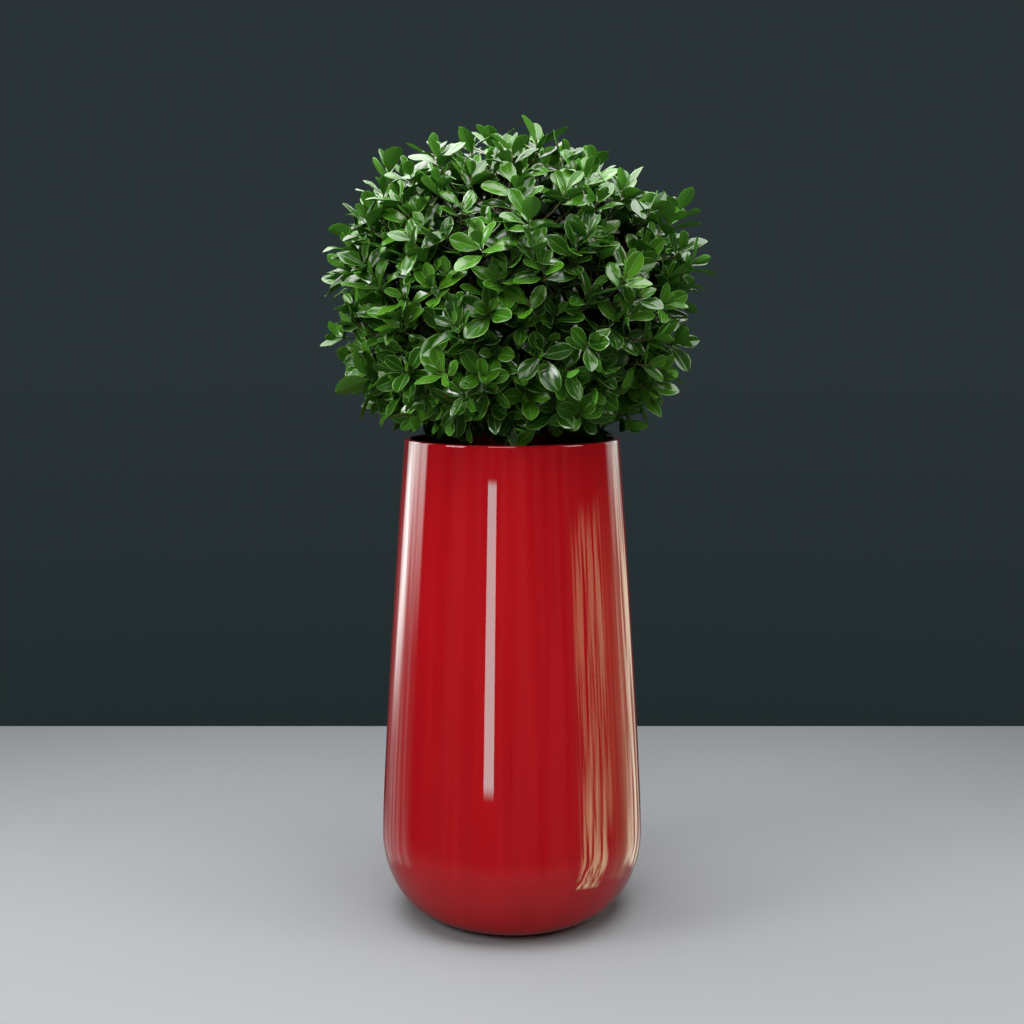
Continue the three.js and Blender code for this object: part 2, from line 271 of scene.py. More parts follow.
# The margin green is partly the edge's own paler colour, partly a painted highlight along the rolled edge.
MARGIN_GREEN_AND_HIGHLIGHT = (0.118, 0.250, 0.048)
RIB_GREEN = (0.066, 0.190, 0.022)
WHITE_GLOW = (1, 1, 1)
ROSE_GLOW = (1, 0.88, 1)
COOL_GLOW = (0.55, 1, 1)
PALE_GLOW = (0.85, 1, 0.97)
GOLD_GLOW = (0.85, 0.96, 0.52)
PALE_GOLD_GLOW = (0.95, 0.96, 0.70)

# Finishes. Scales of noise are per metre, heights of bumps in metres, and pairs are the ends of a span.

NOISE_SPAN = (0.3, 0.7)  # values that a noise mostly has
LACQUER = Sizes(
    streaks=26,
    streak_stretch=(1, 1, 0.06),
    streak_span=(0.35, 0.65),
    clouds=60,
    roughness=(0.22, 0.34),
    coat_roughness=0.03,
    ripples=9,
    ripple_stretch=(1, 1, 0.12),
    ripple_height=0.0012,
    ripple_strength=0.12,
)
CRUMBS = Sizes(scale=210, roughness=0.95, height=0.002, strength=0.8)
FIBRES = Sizes(
    stretch=(1, 1, 0.3),
    span=(0.32, 0.68),
    roughness=(0.7, 0.95),
    shine=0.15,
    height=0.0015,
    strength=0.6,
)
CHIP_BARK = Sizes(dark=(0.020, 0.011, 0.006), pale=(0.090, 0.052, 0.028), scale=160)
OLD_BARK = Sizes(dark=(0.045, 0.028, 0.017), pale=(0.170, 0.120, 0.080), scale=90)
YOUNG_BARK = Sizes(dark=(0.050, 0.048, 0.018), pale=(0.120, 0.110, 0.045), scale=150)
WAX = Sizes(clouds=120, shine=0.48, grain=330, height=0.0006, strength=0.11)
# Shine and roughness of the leaves in painted shade inside the crown.
PAINTED_SHADE_SHINE = 0.12
PAINTED_SHADE_ROUGHNESS = (0.50, 0.65)
BLADE_ROUGHNESS = (0.15, 0.24)
UNDER_ROUGHNESS = (0.48, 0.62)
MARGIN_ROUGHNESS = (0.30, 0.42)
RIB_ROUGHNESS = (0.35, 0.48)

# Light

AMBIENT = Sizes(colour=(0.97, 0.99, 1), strength=0.04)

# Soft lamps: the start of the names of the pieces that they light if it is only some, whether shining
# surfaces show them, where they stand, where they point, width and height, power and colour.
LAMPS = (
    Sizes(
        name="overhead", lights=None, shows=True, place=(-0.08, -0.22, 2.4), aim=(0, 0, 0.9),
        size=(2.6, 2.0), power=106, colour=(1, 1, 1),
    ),
    Sizes(
        name="front", lights=None, shows=True, place=(-0.5, -2.6, 2.2), aim=(0, 0, 0.9),
        size=(1.4, 1.2), power=20, colour=(1, 0.99, 0.97),
    ),
    Sizes(
        name="right", lights=None, shows=True, place=(2.3, -0.9, 1.9), aim=(0, 0, 0.8),
        size=(1.0, 1.2), power=20, colour=(1, 0.98, 0.95),
    ),
    Sizes(
        name="left", lights=None, shows=True, place=(-2.2, -1.2, 1.75), aim=(0, 0, 1.05),
        size=(1.0, 1.2), power=32, colour=(1, 1, 1),
    ),
    Sizes(
        name="left_leaves", lights="leaves_", shows=True, place=(-2.1, -1.3, 1.85), aim=(0, 0, 1.05),
        size=(1.0, 1.2), power=40, colour=(1, 1, 1),
    ),
    Sizes(
        name="back_leaves", lights="leaves_", shows=False, place=(0.7, 2.4, 1.7), aim=(0, 0, 1.05),
        size=(3.2, 1.2), power=42, colour=(1, 1, 1),
    ),
    Sizes(
        name="back", lights=None, shows=True, place=(-0.4, 2.2, 2.7), aim=(0, 0, 1.15),
        size=(2.6, 1.8), power=3, colour=(0.98, 0.99, 1),
    ),
    Sizes(
        name="low", lights="planter_shell", shows=False, place=(-0.1, -2.7, 0.32), aim=(0, 0, 0.3),
        size=(1.8, 0.5), power=20, colour=(1, 0.99, 0.98),
    ),
    Sizes(
        name="low_back", lights="planter_shell", shows=False, place=(0.3, 2.7, 0.60), aim=(0, 0, 0.6),
        size=(1.8, 0.5), power=28, colour=(1, 0.99, 0.98),
    ),
)

# Bright panels that only shine back from glossy surfaces. Angles are round the planter from the camera's
# side, to the right positive, in degrees. Each panel runs from a low to a high edge, which stand some way
# off the planter's axis. It fades over shares of its height and width at its bottom, top and sides, and
# dims between streaks: by how much, their number across it, and how often they break along it.
PANELS = (
    Sizes(
        name="strip", lights="planter_shell", angles=(-22.1, -13.9), heights=(0.075, 0.79),
        away=(1.0, 1.0), glow=8.2, tint=COOL_GLOW, fade=(0.06, 0.03, 0.04), streaks=(0, 1, 1),
    ),
    Sizes(
        name="left_high", lights="planter_shell", angles=(-128, -93), heights=(0.20, 1.6),
        away=(1.5, 1.5), glow=5.6, tint=PALE_GLOW, fade=(0.55, 0.05, 0.12), streaks=(0.6, 6, 1.2),
    ),
    Sizes(
        name="left_edge", lights="planter_shell", angles=(-139, -115), heights=(-0.1, 1.6),
        away=(1.55, 1.55), glow=6.2, tint=PALE_GLOW, fade=(0.40, 0.05, 0.30), streaks=(0.6, 3, 2.5),
    ),
    Sizes(
        name="left_dim", lights="planter_shell", angles=(-150, -90), heights=(-0.7, 0.8),
        away=(1.6, 1.6), glow=0.7, tint=PALE_GLOW, fade=(0.10, 0.40, 0.25), streaks=(0.7, 9, 1.5),
    ),
    Sizes(
        name="right_top", lights="planter_shell", angles=(108, 150), heights=(0.40, 1.6),
        away=(1.5, 1.5), glow=3.2, tint=PALE_GLOW, fade=(0.50, 0.05, 0.30), streaks=(0.4, 4, 1),
    ),
    Sizes(
        name="right_edge", lights="planter_shell", angles=(110, 152), heights=(-0.7, 1.1),
        away=(1.55, 1.55), glow=2.4, tint=PALE_GOLD_GLOW, fade=(0.08, 0.40, 0.25), streaks=(0.9, 6, 3),
    ),
    Sizes(
        name="right_dim", lights="planter_shell", angles=(84, 130), heights=(-0.7, 0.8),
        away=(1.2, 1.2), glow=0.6, tint=GOLD_GLOW, fade=(0.10, 0.30, 0.30), streaks=(0.6, 7, 1.5),
    ),
    Sizes(
        name="warm_bars", lights="planter_shell", angles=(52, 92), heights=(-0.1, 0.72),
        away=(1.0, 1.0), glow=2.2, tint=GOLD_GLOW, fade=(0.20, 0.12, 0.15), streaks=(1.0, 11, 2.2),
    ),
    Sizes(
        name="warm_low", lights="planter_shell", angles=(54, 86), heights=(-0.7, 0.28),
        away=(1.05, 1.05), glow=5.5, tint=GOLD_GLOW, fade=(0.10, 0.50, 0.20), streaks=(1.0, 8, 3),
    ),
    Sizes(
        name="room", lights="planter_shell", angles=(-85, 75), heights=(-0.9, 1.4),
        away=(1.8, 1.8), glow=0.09, tint=WHITE_GLOW, fade=(0.15, 0.10, 0.15), streaks=(1.0, 13, 1.2),
    ),
    Sizes(
        name="sky", lights=None, angles=(110, 250), heights=(1.7, 3.4),
        away=(1.9, 1.4), glow=2.7, tint=ROSE_GLOW, fade=(0.20, 0.10, 0.20), streaks=(0, 1, 1),
    ),
    Sizes(
        name="floor_glow", lights="planter_shell", angles=(-180, 180), heights=(-0.004, -0.004),
        away=(0.80, 0.13), glow=0.24, tint=WHITE_GLOW, fade=(0.60, 0.25, 0.001), streaks=(0, 1, 1),
    ),
)
PANEL_STEPS = 48
STREAK_SPAN = (0.38, 0.66)  # values of the noise between which a streak turns from dim to bright
STREAK_DETAIL = 2

random = np.random.default_rng(SEED)


# Small tools


def lerp(low, high, share):
    return low + (high - low) * share


def unit(vectors):
    return vectors / np.linalg.norm(vectors, axis=-1, keepdims=True)


def bezier(start, bend, end, steps):
    share = np.linspace(0, 1, steps + 1)[:, None]
    return (1 - share) ** 2 * start + 2 * share * (1 - share) * bend + share**2 * end


def relief(points, scale):
    """Smooth noise from -1 to 1 at each point."""
    return np.array([noise.noise(Vector(point)) for point in points * scale])


def sideways(way, skew=0):
    """A direction square to a way, also where the way is upright."""
    return unit(np.cross(way, UP + SKEW * way[[1, 2, 0]] + skew))


class Heap:
    """Points and faces of many small shapes, for one joined mesh."""

    def __init__(self):
        self.points = []
        self.faces = []
        self.looks = []
        self.count = 0

    def add(self, points, faces, looks=0):
        points = np.asarray(points).reshape(-1, 3)
        for array in faces:
            self.faces.extend((array + self.count).tolist())
            self.looks.append(np.broadcast_to(looks, len(array)))
        self.points.append(points)
        self.count += len(points)


def add_piece(name, heap, materials, nodes, sharp=math.pi):
    """A mesh object that stands for some nodes of the model."""
    mesh = bpy.data.meshes.new(name)
    mesh.from_pydata(np.concatenate(heap.points), [], heap.faces)
    for material in materials:
        mesh.materials.append(material)
    mesh.polygons.foreach_set("material_index", np.concatenate(heap.looks).astype(np.int32))
    mesh.shade_smooth()
    mesh.set_sharp_from_angle(angle=sharp)
    mesh.update()
    piece = bpy.data.objects.new(name, mesh)
    bpy.context.scene.collection.objects.link(piece)
    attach(piece, "root")
    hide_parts(*nodes)
    return piece


def grid_faces(rows, columns, closed):
    """Quads between rows of points, the first of each row following its last if closed."""
    index = np.arange(rows * columns).reshape(rows, columns)
    if closed:
        index = np.hstack([index, index[:, :1]])
    corners = (index[:-1, :-1], index[:-1, 1:], index[1:, 1:], index[1:, :-1])
    return np.stack(corners, axis=-1).reshape(-1, 4)


def fan_faces(ring, centre, forwards):
    """Triangles between a ring of points and a centre, in the ring's order or against it."""
    following = np.roll(ring, -1)
    pair = (ring, following) if forwards else (following, ring)
    return np.stack([*pair, np.full(len(ring), centre)], axis=-1)


def turned(profile, sides):
    """The closed shape that a profile sweeps round Z. The profile starts and ends on the axis."""
    rim = np.array(profile[1:-1])
    angle = np.arange(sides) * 2 * math.pi / sides
    circle = np.stack([np.cos(angle), np.sin(angle)], axis=-1)
    rings = np.concatenate(
        [rim[:, None, :1] * circle, np.broadcast_to(rim[:, None, 1:], (len(rim), sides, 1))], axis=-1
    )
    points = np.concatenate([rings.reshape(-1, 3), [(0, 0, profile[0][1]), (0, 0, profile[-1][1])]])
    last_ring = np.arange(sides) + (len(rim) - 1) * sides
    faces = [
        grid_faces(len(rim), sides, closed=True),
        fan_faces(np.arange(sides), len(rim) * sides, forwards=False),
        fan_faces(last_ring, len(rim) * sides + 1, forwards=True),
    ]
    return points, faces


def limb_rings(path, radii, sides):
    """Rings of points round a path, their directions from it and their angles."""
    ways = unit(np.gradient(path, axis=0))
    side = sideways(ways[0], LIMB_SKEW)
    angle = np.arange(sides) * 2 * math.pi / sides
    outs = []
    for way in ways:
        side = unit(side - way * side.dot(way))
        outs.append(np.cos(angle)[:, None] * side + np.sin(angle)[:, None] * np.cross(way, side))
    outs = np.array(outs)
    return path[:, None] + outs * radii[:, None, None], outs, angle


def limb_faces(steps, sides):
    rings = steps + 1
    last_ring = np.arange(sides) + steps * sides
    return [
        grid_faces(rings, sides, closed=True),
        fan_faces(np.arange(sides), rings * sides, forwards=False),
        fan_faces(last_ring, rings * sides + 1, forwards=True),
    ]


def add_limb(heap, path, radii, sides, look=0):
    rings, _, _ = limb_rings(path, radii, sides)
    points = np.concatenate([rings.reshape(-1, 3), path[:1], path[-1:]])
    heap.add(points, limb_faces(len(path) - 1, sides), look)


# Materials


def principled(name, colour, roughness, **sockets):
    material = bpy.data.materials.new(name)
    material.use_nodes = True
    shader = material.node_tree.nodes["Principled BSDF"]
    shader.inputs["Base Color"].default_value = (*colour, 1)
    shader.inputs["Roughness"].default_value = roughness
    for socket, value in sockets.items():
        shader.inputs[socket.replace("_", " ")].default_value = value
    return material


def spread(tree, value, span, ends=(0, 1), ease="LINEAR"):
    """The output of a node that turns a span of a value into the span between two ends."""
    node = tree.nodes.new("ShaderNodeMapRange")
    node.interpolation_type = ease
    for name, number in zip(("From Min", "From Max", "To Min", "To Max"), (*span, *ends)):
        node.inputs[name].default_value = number
    tree.links.new(value, node.inputs["Value"])
    return node.outputs["Result"]


def noise_texture(material, scale, stretch=(1, 1, 1), detail=3):
    """A noise in the object's own coordinates, as its node."""
    nodes = material.node_tree.nodes
    links = material.node_tree.links
    place = nodes.new("ShaderNodeTexCoord")
    mapping = nodes.new("ShaderNodeMapping")
    mapping.inputs["Scale"].default_value = stretch
    texture = nodes.new("ShaderNodeTexNoise")
    texture.inputs["Scale"].default_value = scale
    texture.inputs["Detail"].default_value = detail
    links.new(place.outputs["Object"], mapping.inputs["Vector"])
    links.new(mapping.outputs["Vector"], texture.inputs["Vector"])
    return texture


def vary_colour(material, texture, span, colours):
    """Turns from one colour to another over a span of the noise."""
    nodes = material.node_tree.nodes
    links = material.node_tree.links
    ramp = nodes.new("ShaderNodeValToRGB")
    for element, position, colour in zip(ramp.color_ramp.elements, span, colours):
        element.position = position
        element.color = (*colour, 1)
    links.new(texture.outputs["Fac"], ramp.inputs["Fac"])
    links.new(ramp.outputs["Color"], nodes["Principled BSDF"].inputs["Base Color"])


def vary_roughness(material, texture, ends):
    tree = material.node_tree
    roughness = spread(tree, texture.outputs["Fac"], NOISE_SPAN, ends)
    tree.links.new(roughness, tree.nodes["Principled BSDF"].inputs["Roughness"])


def add_bump(material, texture, distance, strength):
    nodes = material.node_tree.nodes
    bump = nodes.new("ShaderNodeBump")
    bump.inputs["Distance"].default_value = distance
    bump.inputs["Strength"].default_value = strength
    links = material.node_tree.links
    links.new(texture.outputs["Fac"], bump.inputs["Height"])
    links.new(bump.outputs["Normal"], nodes["Principled BSDF"].inputs["Normal"])


def lacquer_material():
    material = principled(
        "red_lacquer",
        RED,
        LACQUER.roughness[0],
        Specular_IOR_Level=0.0,
        Coat_Weight=1.0,
        Coat_Roughness=LACQUER.coat_roughness,
    )
    streaks = noise_texture(material, LACQUER.streaks, LACQUER.streak_stretch, detail=2)
    vary_colour(material, streaks, LACQUER.streak_span, (DEEP_RED, RED))
    vary_roughness(material, noise_texture(material, LACQUER.clouds), LACQUER.roughness)
    ripples = noise_texture(material, LACQUER.ripples, LACQUER.ripple_stretch, detail=1)
    add_bump(material, ripples, LACQUER.ripple_height, LACQUER.ripple_strength)
    return material


def soil_material():
    material = principled("potting_soil", DARK_SOIL, CRUMBS.roughness)
    crumbs = noise_texture(material, CRUMBS.scale, detail=6)
    vary_colour(material, crumbs, NOISE_SPAN, (DARK_SOIL, PALE_SOIL))
    add_bump(material, crumbs, CRUMBS.height, CRUMBS.strength)
    return material


def bark_material(name, kind):
    material = principled(name, kind.dark, FIBRES.roughness[0], Specular_IOR_Level=FIBRES.shine)
    fibres = noise_texture(material, kind.scale, FIBRES.stretch, detail=5)
    vary_colour(material, fibres, FIBRES.span, (kind.dark, kind.pale))
    vary_roughness(material, fibres, FIBRES.roughness)
    add_bump(material, fibres, FIBRES.height, FIBRES.strength)
    return material


def leaf_material(name, colour, roughness, shine=WAX.shine):
    """A leaf's surface: one plain green, with an uneven wax that breaks up its shine."""
    material = principled(name, colour, roughness[0], Specular_IOR_Level=shine)
    vary_roughness(material, noise_texture(material, WAX.clouds, detail=2), roughness)
    add_bump(material, noise_texture(material, WAX.grain, detail=2), WAX.height, WAX.strength)
    return material


red_lacquer = lacquer_material()
soil_looks = [soil_material(), bark_material("bark_chips", CHIP_BARK)]
bark = bark_material("bark", OLD_BARK)
green_bark = bark_material("young_bark", YOUNG_BARK)
leaf_looks = [
    # Painted shade: the dark green of the leaves inside the crown.
    leaf_material("leaf_deep", LEAF_GREENS[0], PAINTED_SHADE_ROUGHNESS, PAINTED_SHADE_SHINE),
    *[
        leaf_material(f"leaf_green_{i + 1}", green, BLADE_ROUGHNESS)
        for i, green in enumerate(LEAF_GREENS[1:])
    ],
    leaf_material("leaf_young", YOUNG_GREEN, BLADE_ROUGHNESS),
    leaf_material("leaf_under", UNDER_GREEN, UNDER_ROUGHNESS),
    # Pale margin: partly its own colour, partly a painted highlight.
    leaf_material("leaf_margin", MARGIN_GREEN_AND_HIGHLIGHT, MARGIN_ROUGHNESS),
    leaf_material("leaf_rib", RIB_GREEN, RIB_ROUGHNESS),
]
YOUNG, UNDER, MARGIN_AND_HIGHLIGHT, RIB = range(len(LEAF_GREENS), len(leaf_looks))
PAINTED_SHADE = 0  # painted shade: the green of the leaves inside the crown, which are dark all over
BLADE = -1  # stands for the spray's own green


# Planter and soil


def wall_radius(height):
    """The planter's outer radius on its side."""
    share = (height - POT.belly_height) / (POT.height - POT.belly_height)
    return POT.belly_radius - (POT.belly_radius - POT.rim_radius) * share**POT.side_ease


def wall_profile(inset, bottom, top):
    """The planter's outline from the edge of its flat bottom up to a height, moved in by an inset."""
    angle = np.linspace(-math.pi / 2, 0, POT.foot_steps + 1)
    foot_radius = POT.base_radius - inset + (POT.belly_radius - POT.base_radius) * np.cos(angle)
    foot_height = POT.belly_height + (POT.belly_height - bottom) * np.sin(angle)
    side_height = np.append(np.linspace(POT.belly_height, top - POT.lip_edge, POT.side_steps + 1)[1:], top)
    side_radius = wall_radius(side_height) - inset
    radius = np.concatenate([foot_radius, side_radius])
    height = np.concatenate([foot_height, side_height])
    return list(zip(radius, height))


def add_planter():
    shoulder = POT.height - POT.lip_edge
    angle = np.linspace(0, math.pi / 2, POT.lip_steps + 1)[1:]
    across = POT.lip_edge * (1 - np.cos(angle))
    rise = shoulder + POT.lip_edge * np.sin(angle)
    profile = [
        (0, 0),
        *wall_profile(0, 0, shoulder),
        *zip(POT.rim_radius - across, rise),
        *reversed(list(zip(POT.rim_radius - POT.wall + across, rise))),
        *reversed(wall_profile(POT.wall, POT.floor, shoulder)),
        (0, POT.floor),
    ]
    heap = Heap()
    heap.add(*turned(profile, POT.sides))
    add_piece("planter_shell", heap, [red_lacquer], ["planter"])


def soil_surface(radius):
    """Height of the soil at a distance from the axis, without its lumps."""
    edge = wall_radius(POT.height - SOIL.drop) - POT.wall
    return POT.height - SOIL.drop - SOIL.mound * (radius / edge) ** 2


def add_soil():
    inset = POT.wall + SOIL.clear
    top = POT.height - SOIL.drop - SOIL.mound
    edge = wall_radius(top) - inset
    slope = [(radius, soil_surface(radius)) for radius in np.linspace(edge, 0, SOIL.rings)[1:]]
    profile = [(0, POT.floor + SOIL.clear), *wall_profile(inset, POT.floor + SOIL.clear, top), *slope]
    points, faces = turned(profile, SOIL.sides)
    on_top = points[:, 2] > top + ROUNDING
    for scale, lump in SOIL.lumps:
        points[on_top, 2] += lump * relief(points[on_top], scale)
    heap = Heap()
    heap.add(points, faces)
    for _ in range(SOIL.chips):
        add_chip(heap, edge)
    add_piece("soil_bed", heap, soil_looks, ["soil"])


def add_chip(heap, edge):
    """One chip of bark lying on the soil: a flat stone with six corners."""
    radius = (edge - SOIL.chip_size[1]) * math.sqrt(random.random())
    azimuth = random.uniform(0, 2 * math.pi)
    length = random.uniform(*SOIL.chip_size)
    size = length * np.array([1, random.uniform(*SOIL.chip_width), random.uniform(*SOIL.chip_height)])
    corners = np.concatenate([np.eye(3), -np.eye(3)]) * size
    corners = corners * random.uniform(*SOIL.chip_stray, (len(corners), 1))
    turn = random.uniform(0, 2 * math.pi)
    spin = np.array([[math.cos(turn), -math.sin(turn), 0], [math.sin(turn), math.cos(turn), 0], [0, 0, 1]])
    place = np.array([radius * math.cos(azimuth), radius * math.sin(azimuth), soil_surface(radius)])
    girth = np.array([0, 1, 3, 4])  # corners on the chip's X and Y axes; 2 and 5 are on its Z axis
    faces = [fan_faces(girth, 2, forwards=True), fan_faces(girth, 5, forwards=False)]
    heap.add(corners @ spin.T + place, faces, looks=1)


# Crown layout


def envelope_share(points):
    """1 on the crown's envelope, less inside it."""
    off = points - CROWN_MIDDLE
    tall = np.where(off[..., 2] > 0, CROWN.rise, CROWN.fall)
    return np.sqrt((off[..., 0] ** 2 + off[..., 1] ** 2) / CROWN.radius**2 + (off[..., 2] / tall) ** 2)


def reach(direction, share):
    """How far a share of the envelope is from the spread point in a direction."""
    near = 0
    far = CROWN.rise + CROWN.fall
    for _ in range(HALVINGS):
        middle = (near + far) / 2
        if envelope_share(SPREAD_POINT + direction * middle) < share:
            near = middle
        else:
            far = middle
    return near


def crown_masses():
    """One entry for each mass, with the axis that it grows along."""
    masses = []
    for ring in RINGS:
        polar = math.radians(ring.polar)
        for i in range(ring.count):
            azimuth = math.radians(ring.turn) + 2 * math.pi * i / ring.count
            out = math.sin(polar)
            axis = np.array([out * math.cos(azimuth), out * math.sin(azimuth), math.cos(polar)])
            number = f"_{i + 1}" if ring.count > 1 else ""
            masses.append(Sizes(name=ring.name + number, axis=axis, fork=ring.fork))
    return masses


def on_axis(mass, share):
    return SPREAD_POINT + mass.axis * reach(mass.axis, share)


def mass_of(points):
    """The number of the mass whose own space each point is in."""
    axes = np.array([mass.axis for mass in masses])
    return np.argmax(unit(points - SPREAD_POINT) @ axes.T, axis=-1)


def spread_tips(count, depth, heights):
    """Tips spread evenly over the crown by the golden angle, each set back by its own depth."""
    number = np.arange(count)
    height = lerp(*heights, (number + 0.5) / count)
    up = np.abs(height) / np.where(height > 0, CROWN.crest, CROWN.fall)
    power = np.where(height > 0, CROWN.dome, CROWN.skirt)
    out = CROWN.radius * (1 - up**power) ** (1 / power)
    azimuth = number * GOLDEN_ANGLE + random.uniform(-SHOOT.stray, SHOOT.stray, count)
    edge = CROWN_MIDDLE + np.stack([out * np.cos(azimuth), out * np.sin(azimuth), height], axis=-1)
    return edge - outwards(edge) * lerp(*depth, random.random((count, 1)) ** CROWN.uneven)


def outwards(points):
    """The way straight out of the crown at each point."""
    off = points - CROWN_MIDDLE
    above = off[:, 2:] > 0
    tall = np.where(above, CROWN.crest, CROWN.fall)
    power = np.where(above, CROWN.dome, CROWN.skirt)
    around = off[:, :2]
    wide = np.linalg.norm(around, axis=-1, keepdims=True)
    level = around / wide * (wide / CROWN.radius) ** (power - 1) / CROWN.radius
    upright = np.sign(off[:, 2:]) * (np.abs(off[:, 2:]) / tall) ** (power - 1) / tall
    return unit(np.hstack([level, upright]))


masses = crown_masses()


# Trunk and boughs

trunk_foot = POT.height - SOIL.drop
trunk_top = on_axis(masses[0], ENTRY)[2]


def trunk_point(height):
    """The middle of the trunk at each height, on a cubic through the points that it wanders by."""
    shares, x, y = np.array(TRUNK.wander).T
    share = (np.asarray(height) - trunk_foot) / (trunk_top - trunk_foot)
    across = [np.polyval(np.polyfit(shares, values, 3), share) for values in (x, y)]
    return np.stack([*across, np.asarray(height)], axis=-1)


def bark_relief(points, out, radius):
    """Moves the points of a limb in and out: shallow fissures along it, knots and fine grain."""
    flat = points.reshape(-1, 3)
    fissures = np.abs(relief(flat, BARK.fissures)) - BARK.fissure_middle
    knots = relief(flat, BARK.knots)
    grain = relief(flat, BARK.grain)
    move = BARK.fissure_depth * fissures + BARK.knot_depth * knots + BARK.grain_depth * grain
    return points + out * (move.reshape(points.shape[:2]) * radius[:, None])[..., None]


def add_bark_limb(heap, path, radius, sides, swell=None):
    rings, out, angle = limb_rings(path, radius, sides)
    if swell is not None:
        rings = rings + out * swell(angle)[..., None]
    rings = bark_relief(rings, out, radius)
    points = np.concatenate([rings.reshape(-1, 3), path[:1], path[-1:]])
    heap.add(points, limb_faces(len(path) - 1, sides))


def add_trunk():
    height = np.linspace(trunk_foot - TRUNK.buried, trunk_top + TRUNK.overlap, TRUNK.steps + 1)
    path = trunk_point(height)
    above = np.clip(height - trunk_foot, 0, None)
    flare = np.exp(-above / TRUNK.flare_height)
    plain = lerp(TRUNK.radius, TRUNK.tip_radius, above / (trunk_top - trunk_foot))
    radius = plain + (TRUNK.flare_radius - TRUNK.radius) * flare

    def root_swell(angle):
        return TRUNK.root_swell * TRUNK.flare_radius * flare[:, None] ** 2 * np.cos(TRUNK.roots * angle)

    heap = Heap()
    add_bark_limb(heap, path, radius, TRUNK.sides, root_swell)
    add_piece("bark_trunk", heap, [bark], ["trunk"])


def add_boughs():
    heap = Heap()
    with_fork = [mass for mass in masses if mass.fork]
    for mass in with_fork:
        start = trunk_point(mass.fork)
        end = on_axis(mass, ENTRY)
        bend = (start + end) / 2 - UP * BOUGH.sag * np.linalg.norm(end - start)
        path = bezier(start, bend, end, BOUGH.steps)
        radius = np.linspace(BOUGH.radius, BOUGH.tip_radius, BOUGH.steps + 1)
        add_bark_limb(heap, path, radius, BOUGH.sides)
    add_piece("bark_boughs", heap, [bark], [f"bough_{mass.name}" for mass in with_fork])


# Shoots and twigs


def mass_shoots(mass, tips):
    """Curves from the mass's stem to each tip, sagging a little so that their ends turn up."""
    foot = on_axis(mass, ENTRY)
    end = on_axis(mass, STEM_END)
    shoots = []
    for tip in tips:
        start = lerp(foot, end, random.uniform(*SHOOT.leave))
        bend = lerp(start, tip, SHOOT.bend) - UP * SHOOT.sag * np.linalg.norm(tip - start)
        shoots.append(bezier(start, bend, tip, SHOOT.steps))
    return shoots


def twig_path(shoots, tip, way):
    """A twig from the shoot whose end is nearest, turning to the way that its tip points."""
    ends = np.array([shoot[-1] for shoot in shoots])
    shoot = shoots[np.argmin(np.linalg.norm(ends - tip, axis=-1))]
    share = random.uniform(*TWIG.leave) * SHOOT.steps
    step = int(share)
    start = lerp(shoot[step], shoot[step + 1], share - step)
    bend = tip - way * TWIG.straight * np.linalg.norm(tip - start)
    path = bezier(start, bend, tip, TWIG.steps)
    return np.concatenate([path, [tip + way * TWIG.bud]])


def add_mass_twigs(mass, shoots, twigs):
    heap = Heap()
    share = np.linspace(0, 1, STEM.steps + 1)
    foot = on_axis(mass, ENTRY - STEM.overlap)
    stem = lerp(foot, on_axis(mass, STEM_END), share[:, None])
    add_limb(heap, stem, lerp(STEM.radius, STEM.tip_radius, share), STEM.sides)
    for shoot in shoots:
        radii = np.linspace(SHOOT.radius, SHOOT.tip_radius, len(shoot))
        add_limb(heap, shoot, radii, SHOOT.sides)
    for twig in twigs:
        radii = np.linspace(TWIG.radius, TWIG.tip_radius, len(twig))
        radii[-1] /= TWIG.bud_taper
        add_limb(heap, twig, radii, TWIG.sides, look=1)
    add_piece(f"twigs_{mass.name}", heap, [bark, green_bark], [f"foliage_{mass.name}"])


# Leaves


def half_outline(share):
    """Half of a leaf's width at shares of its length, as a share of its widest."""
    blade = np.clip((share - LEAF.stalk) / (1 - LEAF.stalk), 0, 1)
    widest = LEAF.base_power / (LEAF.base_power + LEAF.tip_power)
    most = widest**LEAF.base_power * (1 - widest) ** LEAF.tip_power
    return blade**LEAF.base_power * (1 - blade) ** LEAF.tip_power / most


def leaf_layout():
    """A leaf's faces and their kinds. Its upper and lower sides share the points of its edge."""
    rows = len(LEAF.rows)
    columns = len(LEAF.columns)
    upper = np.arange(rows * columns).reshape(rows, columns)
    lower = upper.copy()
    inside = (rows - 2) * (columns - 2)
    lower[1:-1, 1:-1] = np.arange(inside).reshape(rows - 2, columns - 2) + rows * columns
    faces = grid_faces(rows, columns, closed=False)
    strip = np.tile(np.arange(columns - 1), rows - 1)
    middle = (columns - 2) // 2
    edge = (strip == 0) | (strip == columns - 2)
    # The edge strips take the pale margin green: partly their own colour, partly a painted highlight.
    upper_kind = np.where(strip == middle, RIB, np.where(edge, MARGIN_AND_HIGHLIGHT, BLADE))
    lower_kind = np.where(strip == middle, RIB, UNDER)
    all_faces = np.concatenate([upper.ravel()[faces], lower.ravel()[faces][:, ::-1]])
    return all_faces, np.concatenate([upper_kind, lower_kind])


